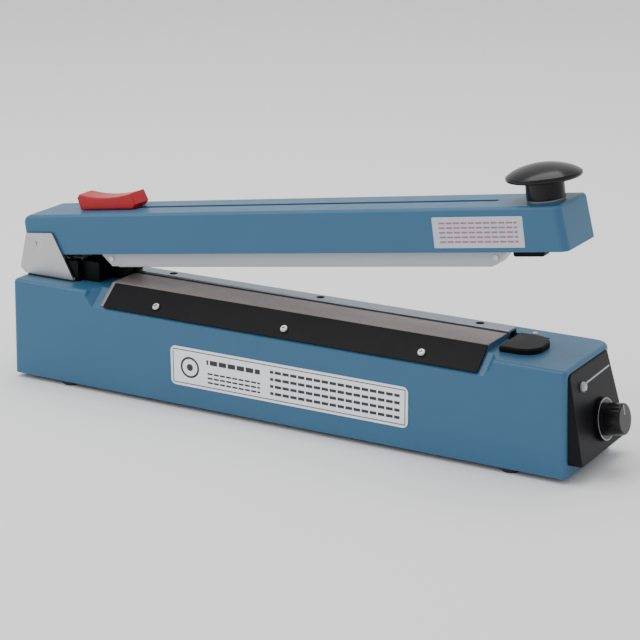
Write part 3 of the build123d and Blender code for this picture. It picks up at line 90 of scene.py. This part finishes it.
def lay_floor():
    """A large plain pale table."""
    bpy.ops.mesh.primitive_plane_add(size=FLOOR_SIZE, location=(0, 0, -FLOOR_DROP))
    floor = bpy.context.object
    floor.name = "pale_floor"
    pale = Finish("pale_floor", (0.92, 0.92, 0.92), roughness=0.85)
    floor.data.materials.append(pale.material)


def soft_light(name, spot, aim, size, power):
    """One square studio panel that faces a point."""
    panel = bpy.data.lights.new(name, "AREA")
    panel.shape = "RECTANGLE"
    panel.size, panel.size_y = size
    panel.energy = power
    lamp = bpy.data.objects.new(name, panel)
    lamp.location = spot
    lamp.rotation_euler = (Vector(aim) - Vector(spot)).to_track_quat("-Z", "Y").to_euler()
    bpy.context.collection.objects.link(lamp)


def light_studio():
    """Two soft panels and a bright even room."""
    room = bpy.data.worlds.new("bright_room")
    room.use_nodes = True
    sky = room.node_tree.nodes["Background"]
    sky.inputs["Color"].default_value = (1.0, 1.0, 1.0, 1.0)
    sky.inputs["Strength"].default_value = SKY_STRENGTH
    bpy.context.scene.world = room
    soft_light("front_panel", (-1.5, -1.5, 1.5), (0, 0, 0.08), (1.6, 1.2), 14)
    soft_light("top_panel", (-0.3, 0.2, 1.7), (0, 0, 0.1), (1.8, 1.0), 20)


# ---------------------------------------------------------------- finishes
class Value:
    """A socket in a finish, so that sums over the surface are written as plain expressions."""

    def __init__(self, finish, socket):
        self.finish = finish
        self.socket = socket

    def math(self, operation, *others):
        sockets = dict(enumerate((self, *others)))
        return self.finish.node("ShaderNodeMath", {"operation": operation}, sockets)

    def __add__(self, other):
        return self.math("ADD", other)

    def __sub__(self, other):
        return self.math("SUBTRACT", other)

    def __rsub__(self, other):
        return self.finish.node("ShaderNodeMath", {"operation": "SUBTRACT"}, {0: other, 1: self})

    def __mul__(self, other):
        return self.math("MULTIPLY", other)

    def __gt__(self, other):
        return self.math("GREATER_THAN", other)

    def __lt__(self, other):
        return self.math("LESS_THAN", other)

    def __mod__(self, other):
        return self.math("FLOORED_MODULO", other)

    def __abs__(self):
        return self.math("ABSOLUTE")

    def wave(self):
        return self.math("SINE")

    def between(self, low, high):
        """1 from low to high, 0 elsewhere."""
        return (self > low) * (self < high)

    def either(self, other):
        return self.math("MAXIMUM", other)


class Finish:
    """One material: a principled shader, with constants on its own sockets."""

    def __init__(self, name, colour, roughness, metallic=0.0, **constants):
        self.material = bpy.data.materials.new(name)
        self.material.use_nodes = True
        self.material.diffuse_color = (*colour, 1.0)
        self.tree = self.material.node_tree
        self.shader = self.tree.nodes["Principled BSDF"]
        self.shader.inputs["Base Color"].default_value = (*colour, 1.0)
        self.shader.inputs["Roughness"].default_value = roughness
        self.shader.inputs["Metallic"].default_value = metallic
        for socket, number in constants.items():
            self.shader.inputs[socket.replace("_", " ")].default_value = number

    def node(self, kind, settings=None, inputs=None, output=0):
        """Adds a node of a kind, sets it up, fills its sockets and returns one output as a Value."""
        made = self.tree.nodes.new(kind)
        for name, setting in (settings or {}).items():
            setattr(made, name, setting)
        for socket, what in (inputs or {}).items():
            if isinstance(what, Value):
                self.tree.links.new(what.socket, made.inputs[socket])
            else:
                made.inputs[socket].default_value = what
        return Value(self, made.outputs[output])

    def feed(self, socket, value):
        """What changes over the surface goes to one of the shader's sockets."""
        self.tree.links.new(value.socket, self.shader.inputs[socket])

    def place(self, stretch=(1.0, 1.0, 1.0)):
        """Place on the object in metres, stretched if need be."""
        here = self.node("ShaderNodeTexCoord", output="Object")
        return self.node("ShaderNodeMapping", {}, {"Vector": here, "Scale": stretch})

    def axes(self):
        """The x, y and z of a point, each as a Value."""
        apart = self.node("ShaderNodeSeparateXYZ", {}, {"Vector": self.place()})
        return tuple(Value(self, apart.socket.node.outputs[axis]) for axis in "XYZ")

    def noise(self, grain, detail=2.0, stretch=(1.0, 1.0, 1.0)):
        """Soft random grain; grain is its size in metres."""
        sockets = {"Vector": self.place(stretch), "Scale": 1.0 / grain, "Detail": detail, "Roughness": 0.55}
        return self.node("ShaderNodeTexNoise", {}, sockets)

    def blend(self, share, low, high):
        """A colour from low to high by a share."""
        sockets = {0: share, 6: (*low, 1.0), 7: (*high, 1.0)}
        return self.node("ShaderNodeMix", {"data_type": "RGBA"}, sockets, output=2)

    def relief(self, height, depth, strength):
        """Fine relief that is too small to model; depth in metres."""
        bump = self.node("ShaderNodeBump", {}, {"Height": height, "Distance": depth, "Strength": strength})
        self.feed("Normal", bump)


def shade_of(colour, factor):
    """The same colour lighter or darker."""
    return tuple(min(1.0, channel * factor) for channel in colour)


def enamel(name, colour, roughness=0.34, gloss=0.32):
    """Sprayed enamel over a casting: fine orange peel and slightly uneven gloss."""
    paint = Finish(name, colour, roughness, Specular_IOR_Level=gloss)
    broad = paint.noise(0.06, 3.0)
    paint.feed("Base Color", paint.blend(broad, shade_of(colour, 0.93), shade_of(colour, 1.08)))
    paint.feed("Roughness", paint.noise(0.012) * 0.12 + (roughness - 0.06))
    paint.relief(paint.noise(0.0016, 1.0), 0.00006, 0.55)
    return paint.material


def plastic(name, colour, roughness=0.42, grain=0.00045, depth=0.00002, gloss=0.10):
    """Moulded plastic with a fine spark-eroded texture."""
    resin = Finish(name, colour, roughness, Specular_IOR_Level=gloss)
    speck = resin.noise(grain, 2.0)
    resin.feed("Roughness", resin.noise(0.009) * 0.14 + (roughness - 0.07))
    mottle = resin.noise(0.02, 3.0)
    resin.feed("Base Color", resin.blend(mottle, shade_of(colour, 0.88), shade_of(colour, 1.14)))
    resin.relief(speck, depth, 0.6)
    return resin.material


def rubber(name, colour, roughness=0.7):
    """Moulded rubber, matt, with a little bloom."""
    soft = Finish(name, colour, roughness, Specular_IOR_Level=0.35)
    soft.feed("Base Color", soft.blend(soft.noise(0.004, 4.0), colour, shade_of(colour, 1.35)))
    soft.relief(soft.noise(0.0007, 3.0), 0.00004, 0.7)
    return soft.material


GRAIN = {"X": (0.04, 1.0, 1.0), "Y": (1.0, 0.04, 1.0), "Z": (1.0, 1.0, 0.04), "round": (1.0, 1.0, 1.0)}


def metal(name, colour, roughness, run):
    """Rolled or drawn metal with grain along one axis, or none."""
    bare = Finish(name, colour, roughness, 1.0)
    grain = bare.noise(0.0006, 3.0, GRAIN[run])
    bare.feed("Roughness", grain * 0.22 + (roughness - 0.11))
    mottle = bare.noise(0.015, 2.0)
    bare.feed("Base Color", bare.blend(mottle, shade_of(colour, 0.9), shade_of(colour, 1.06)))
    bare.relief(grain, 0.00001, 0.5)
    return bare.material


BLUE = (0.036, 0.125, 0.225)
BLACK = (0.005, 0.005, 0.006)
CONSOLE_BLACK = (0.007, 0.007, 0.009)
# pale grey for printed marks and the lamp lens, and for the painted highlight ring on the dial skirt
PALE_PRINT_AND_HIGHLIGHT_GREY = (0.30, 0.31, 0.33)


def release_cloth():
    """Coated glass cloth: a tight square weave under a brown-grey, slightly greasy coat."""
    cloth = Finish("release_cloth", (0.24, 0.20, 0.195), 0.42, Specular_IOR_Level=0.6)
    x, y, _ = cloth.axes()
    thread = 2 * pi / 0.0009
    weave = (x * thread).wave() * (y * thread).wave()
    stain = cloth.noise(0.03, 4.0, (0.35, 1, 1)) * 0.85 + weave * 0.06
    cloth.feed("Base Color", cloth.blend(stain, (0.150, 0.120, 0.116), (0.360, 0.305, 0.300)))
    cloth.feed("Roughness", cloth.noise(0.01, 3.0) * 0.2 + 0.3)
    cloth.relief(weave, 0.00005, 0.8)
    return cloth.material


def glass_tape():
    """Woven insulating tape under the element."""
    tape = Finish("glass_tape", (0.55, 0.46, 0.32), 0.75)
    x, y, _ = tape.axes()
    thread = 2 * pi / 0.0007
    weave = (x * thread).wave() * (y * thread).wave()
    tape.feed("Base Color", tape.blend(weave * 0.5 + 0.5, (0.42, 0.34, 0.22), (0.62, 0.54, 0.40)))
    tape.relief(weave, 0.00008, 0.8)
    return tape.material


def lamp_lens():
    """Small neon lamp behind a clear lens."""
    lens = Finish("lamp_lens", PALE_PRINT_AND_HIGHLIGHT_GREY, 0.10, 0.35, Coat_Weight=0.8, Coat_Roughness=0.04)
    return lens.material


def circuit_board():
    """Green board with lighter tracks."""
    board = Finish("circuit_board", (0.02, 0.13, 0.05), 0.4)
    x, y, _ = board.axes()
    track = ((x % 0.0045) < 0.0009).either((y % 0.0062) < 0.0009)
    patch = board.noise(0.012, 1.0) > 0.48
    board.feed("Base Color", board.blend(track * patch, (0.015, 0.11, 0.04), (0.05, 0.22, 0.09)))
    return board.material


def laminations():
    """Stacked core plates seen edge on."""
    core = Finish("laminations", (0.10, 0.10, 0.11), 0.45, 0.8)
    _, y, _ = core.axes()
    plate = (y % 0.0007) < 0.00012
    core.feed("Base Color", core.blend(plate, (0.16, 0.16, 0.17), (0.03, 0.03, 0.03)))
    core.relief(1 - plate, 0.00008, 0.8)
    return core.material


def winding():
    """Taped transformer coil."""
    coil = Finish("winding", (0.45, 0.30, 0.05), 0.5)
    _, _, z = coil.axes()
    lap = (z % 0.006) < 0.0004
    coil.feed("Base Color", coil.blend(lap, (0.48, 0.33, 0.06), (0.28, 0.18, 0.03)))
    coil.relief(1 - lap, 0.0001, 0.7)
    return coil.material


def turned(x, z, pin, lean):
    """Distances along and across a line through a pin that leans up from the level."""
    along = (x - pin.x) * cos(lean) + (z - pin.z) * sin(lean)
    up = (z - pin.z) * cos(lean) - (x - pin.x) * sin(lean)
    return along, up


def ruled_marks(along, up, area, rows, bar, gap):
    """Short ruled bars in rows, standing for printed lines; area is (start, end, bottom, top)."""
    start, end, bottom, top = area
    pitch = (top - bottom) / rows
    row = ((up - bottom) % pitch).between(pitch * 0.28, pitch * 0.70)
    length = (along % (bar + gap)) < bar
    return row * length * along.between(start, end) * up.between(bottom, top)


def nameplate_film():
    """Silver plate with a black keyline, a plain disc and ruled bars in place of print."""
    low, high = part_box("nameplate")
    film = Finish("nameplate_film", (0.86, 0.88, 0.90), 0.34, 0.1)
    x, _, z = film.axes()
    left, right, floor, roof = low.x, high.x, low.z, high.z
    middle = (floor + roof) / 2
    line = 0.0007
    inset = 0.0017
    deep = inset + line
    margin = 0.004
    title_start, title_end = left + 0.030, left + 0.074
    inside = x.between(left + inset, right - inset) * z.between(floor + inset, roof - inset)
    core = x.between(left + deep, right - deep) * z.between(floor + deep, roof - deep)
    disc_x = left + 0.016
    far = ((x - disc_x) * (x - disc_x) + (z - middle) * (z - middle)).math("SQRT")
    disc = far.between(0.0062, 0.0078).either(far < 0.0026)
    first = ruled_marks(x, z, (title_start, title_end, middle + 0.0020, roof - margin), 1, 0.0062, 0.0012)
    rows = ruled_marks(x, z, (title_start, title_end, floor + margin, middle - 0.0005), 3, 0.0042, 0.0009)
    block_area = (left + 0.082, right - 0.006, floor + margin, roof - margin)
    block = ruled_marks(x, z, block_area, 4, 0.0052, 0.0010)
    ink = (inside - core).either(disc).either(first).either(rows).either(block)
    film.feed("Base Color", film.blend(ink, (0.86, 0.88, 0.90), (0.012, 0.014, 0.020)))
    film.feed("Metallic", (1 - ink) * 0.1)
    return film.material


LABEL_AREA = (0.3303, 0.3953, -0.0057, 0.0148)     # along the arm from its hinge pin, and up from it


def arm_film():
    """Pale film with dull pink ruled bars in place of print."""
    film = Finish("arm_film", (0.50, 0.53, 0.60), 0.4, Specular_IOR_Level=0.3)
    x, _, z = film.axes()
    along, up = turned(x, z, HINGE_PIN, OPEN_ANGLE)
    start, end, floor, roof = LABEL_AREA
    side, edge = 0.004, 0.0025
    bars_area = (start + side, end - side, floor + edge, roof - edge)
    bars = ruled_marks(along, up, bars_area, 5, 0.0046, 0.0008)
    film.feed("Base Color", film.blend(bars, (0.50, 0.53, 0.60), (0.36, 0.17, 0.20)))
    return film.material


LINE_START, LINE_END = -0.0168, 0.0212      # of the printed line, across the console
LINE_MIDDLE = 0.0022
LINE_HEIGHT = 0.0621
LINE_RISE = 0.026
LINE_WIDTH = 0.0012


def console_face():
    """Dark moulding with one thin pale line printed across its top."""
    face = Finish("console_black", CONSOLE_BLACK, 0.38, Specular_IOR_Level=0.10)
    _, y, z = face.axes()
    level = (y - LINE_MIDDLE) * LINE_RISE + LINE_HEIGHT
    line = z.between(level - LINE_WIDTH / 2, level + LINE_WIDTH / 2) * y.between(LINE_START, LINE_END)
    face.feed("Base Color", face.blend(line, CONSOLE_BLACK, (0.42, 0.43, 0.45)))
    face.relief(face.noise(0.0006, 2.0), 0.00001, 0.5)
    return face.material


def dial_face():
    """Polished dial with a painted highlight, a thin pale ring, on its skirt rim and a pale pointer printed
    on its end.
    """
    dial = Finish("dial_black", BLACK, 0.20, Specular_IOR_Level=0.28)
    x, y, z = dial.axes()
    low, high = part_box("timer_knob")
    along, up = turned(x, z, DIAL_PIN, CONSOLE_LEAN)
    across = y - DIAL_PIN.y
    far = (up * up + across * across).math("SQRT")
    rim = (high.y - low.y) / 2
    # a thin pale ring just inside the skirt's edge: a painted highlight
    ring = far.between(rim - 0.0013, rim - 0.0005)
    pointer = (abs(across) < 0.0006) * up.between(0.003, 0.0098) * (x > high.x - 0.006)
    # blends in the painted highlight ring and the printed pointer
    dial.feed("Base Color", dial.blend(ring.either(pointer * (along > 0)), BLACK, PALE_PRINT_AND_HIGHLIGHT_GREY))
    return dial.material


FINISHES = {
    "blue_enamel": enamel("blue_enamel", BLUE),
    "strip_enamel": enamel("strip_enamel", (0.006, 0.006, 0.007), 0.40, 0.10),
    "black_plastic": plastic("black_plastic", BLACK, 0.40),
    "gloss_black": plastic("gloss_black", BLACK, 0.20, 0.0009, 0.000006, 0.28),
    "dial_black": dial_face(),
    "console_black": console_face(),
    "red_plastic": plastic("red_plastic", (0.44, 0.010, 0.016), 0.26, 0.0009, 0.000008, 0.3),
    "foot_rubber": rubber("foot_rubber", (0.02, 0.02, 0.021)),
    "gasket_rubber": rubber("gasket_rubber", (0.015, 0.015, 0.016)),
    "white_silicone": rubber("white_silicone", (0.42, 0.41, 0.42), 0.5),
    "bracket_steel": metal("bracket_steel", (0.50, 0.50, 0.51), 0.40, "X"),
    "bright_steel": metal("bright_steel", (0.48, 0.48, 0.49), 0.30, "round"),
    "dark_steel": metal("dark_steel", (0.10, 0.10, 0.105), 0.35, "round"),
    "blade_steel": metal("blade_steel", (0.78, 0.78, 0.80), 0.18, "Z"),
    "rail_aluminium": metal("rail_aluminium", (0.33, 0.38, 0.43), 0.34, "X"),
    "holder_aluminium": enamel("holder_aluminium", (0.42, 0.43, 0.47), 0.38),
    "zinc_steel": metal("zinc_steel", (0.55, 0.55, 0.52), 0.4, "X"),
    "spring_steel": metal("spring_steel", (0.42, 0.42, 0.44), 0.3, "round"),
    "bush_bronze": metal("bush_bronze", (0.55, 0.36, 0.17), 0.35, "round"),
    "terminal_brass": metal("terminal_brass", (0.68, 0.50, 0.22), 0.3, "Y"),
    "element_band": metal("element_band", (0.50, 0.46, 0.42), 0.3, "X"),
    "cover_sheet": enamel("cover_sheet", (0.05, 0.055, 0.06), 0.45),
    "nylon": plastic("nylon", (0.62, 0.60, 0.54), 0.5),
    "ceramic": plastic("ceramic", (0.80, 0.78, 0.72), 0.35),
    "relay_case": plastic("relay_case", (0.02, 0.05, 0.20), 0.35),
    "release_cloth": release_cloth(),
    "glass_tape": glass_tape(),
    "lamp_lens": lamp_lens(),
    "circuit_board": circuit_board(),
    "laminations": laminations(),
    "winding": winding(),
    "nameplate_film": nameplate_film(),
    "arm_film": arm_film(),
}

NODE_FINISH = {
    "blue_enamel": ("base_casting", "arm_casting"),
    "strip_enamel": ("clamp_strip",),
    "black_plastic": ("blade_guard", "switch_cover", "switch_striker", "micro_switch", "fuse_holder",
                      "fuse_cap", "cord_grommet", "board_capacitors"),
    "gloss_black": ("press_knob",),
    "dial_black": ("timer_knob",),
    "console_black": ("control_panel",),
    "red_plastic": ("cutter_grip",),
    "foot_rubber": ("rubber_feet",),
    "gasket_rubber": ("bracket_gasket",),
    "white_silicone": ("silicone_pad",),
    "bracket_steel": ("hinge_bracket",),
    "bright_steel": ("clamp_strip_screws", "bracket_screws", "arm_screws", "pad_rivets", "knob_washer",
                     "press_knob_screw", "cutter_screws", "hinge_pin", "switch_plunger",
                     "potentiometer_shaft", "rail_screws", "terminal_screws", "switch_screws",
                     "transformer_screws", "foot_and_board_screws", "potentiometer_nut"),
    "dark_steel": ("bottom_cover_screws", "panel_and_guard_screws"),
    "blade_steel": ("cutter_blade",),
    "rail_aluminium": ("cutter_guide_rail",),
    "holder_aluminium": ("pad_holder",),
    "zinc_steel": ("switch_bracket", "potentiometer", "transformer_frame"),
    "spring_steel": ("return_spring",),
    "bush_bronze": ("hinge_bushes",),
    "terminal_brass": ("element_terminals",),
    "element_band": ("heating_element",),
    "cover_sheet": ("bottom_cover",),
    "nylon": ("blade_carrier", "board_standoffs"),
    "ceramic": ("terminal_insulators",),
    "relay_case": ("timer_relay",),
    "glass_tape": ("bed_tape",),
    "release_cloth": ("ptfe_cloth",),
    "lamp_lens": ("indicator_lamp",),
    "circuit_board": ("timer_board",),
    "laminations": ("transformer_core",),
    "winding": ("transformer_coil",),
    "nameplate_film": ("nameplate",),
    "arm_film": ("arm_label",),
}


def dress_nodes():
    """Gives each CAD node its finish."""
    for finish, nodes in NODE_FINISH.items():
        for node in nodes:
            mesh = frame["nodes"][node].data
            mesh.materials.clear()
            mesh.materials.append(FINISHES[finish])


# ---------------------------------------------------------------- release cloth and return spring
CLOTH_ENDS = (-153.5, 146.5)                        # millimetres along X
CLOTH_BEND = ((-42.63, 65.72), (-26.01, 79.475), (2.275, 79.475), (2.275, 72.9))    # Y and Z, millimetres
CLOTH_THICKNESS = 0.25                              # millimetres
CLOTH_STEP = 1.6                                    # millimetres between rows
CLOTH_CORNER = 0.5                                  # millimetres cut off each bend
CLOTH_COLUMNS = 150
CLOTH_WAVE = 0.055                                  # millimetres


def cloth_line(corners, step, bend):
    """Points along a bent line with its corners cut off, each with its outward normal."""
    line = []
    for index, (start, end) in enumerate(zip(corners, corners[1:])):
        start, end = Vector(start), Vector(end)
        run = (end - start).normalized()
        from_here = start + run * (bend if index else 0)
        to_there = end - run * (bend if index < len(corners) - 2 else 0)
        count = max(1, round((to_there - from_here).length / step))
        line += [from_here.lerp(to_there, part / count) for part in range(count + 1)]
    normals = []
    for index, spot in enumerate(line):
        run = line[min(index + 1, len(line) - 1)] - line[max(index - 1, 0)]
        normals.append(Vector((-run.y, run.x)).normalized())
    return list(zip(line, normals))


def cloth_ripple(x, index, rows):
    """How far the cloth lifts at a place along the bed and a row across it; nothing at its two long edges."""
    free = sin(pi * index / (rows - 1))
    return CLOTH_WAVE * free * (sin(x * 0.11 + index * 0.25) + 0.7 * sin(x * 0.047 - index * 0.4 + 1.3))


def lay_cloth():
    """Release cloth over the bed: one thin, slightly wavy sheet, clamped in front and turned down behind."""
    line = cloth_line(CLOTH_BEND, CLOTH_STEP, CLOTH_CORNER)
    columns = CLOTH_COLUMNS
    rows = len(line)
    corners, faces = [], []
    for side in (-0.5, 0.5):
        for column in range(columns + 1):
            x = CLOTH_ENDS[0] + (CLOTH_ENDS[1] - CLOTH_ENDS[0]) * column / columns
            for index, (spot, normal) in enumerate(line):
                place = spot + normal * (side * CLOTH_THICKNESS + cloth_ripple(x, index, rows))
                corners.append(Vector((x, place.x, place.y)) * MM)
    layer = rows * (columns + 1)
    for column in range(columns):
        for row in range(rows - 1):
            first = column * rows + row
            ring = (first, first + 1, first + rows + 1, first + rows)
            faces.append(ring)
            faces.append(tuple(layer + spot for spot in reversed(ring)))
    rim = [column * rows for column in range(columns + 1)]
    rim += [columns * rows + row for row in range(1, rows)]
    rim += [column * rows + rows - 1 for column in range(columns - 1, -1, -1)]
    rim += list(range(rows - 2, 0, -1))
    for spot, beyond in zip(rim, rim[1:] + rim[:1]):
        faces.append((spot, beyond, layer + beyond, layer + spot))
    mesh = bpy.data.meshes.new("release_cloth_sheet")
    mesh.from_pydata(corners, [], faces)
    mesh.validate()
    mesh.shade_smooth()
    mesh.materials.append(FINISHES["release_cloth"])
    cloth = bpy.data.objects.new("release_cloth_sheet", mesh)
    bpy.context.collection.objects.link(cloth)
    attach(cloth, "base")
    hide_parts("ptfe_cloth")


def wind_spring():
    """The return spring as its own piece with its own mesh, carried by the base."""
    node = frame["nodes"]["return_spring"]
    coil = bpy.data.objects.new("return_spring_coil", node.data.copy())
    coil.matrix_world = node.matrix_world.copy()
    bpy.context.collection.objects.link(coil)
    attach(coil, "base")
    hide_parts("return_spring")
    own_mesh(coil)


place_camera()
lay_floor()
light_studio()
dress_nodes()
lay_cloth()
wind_spring()
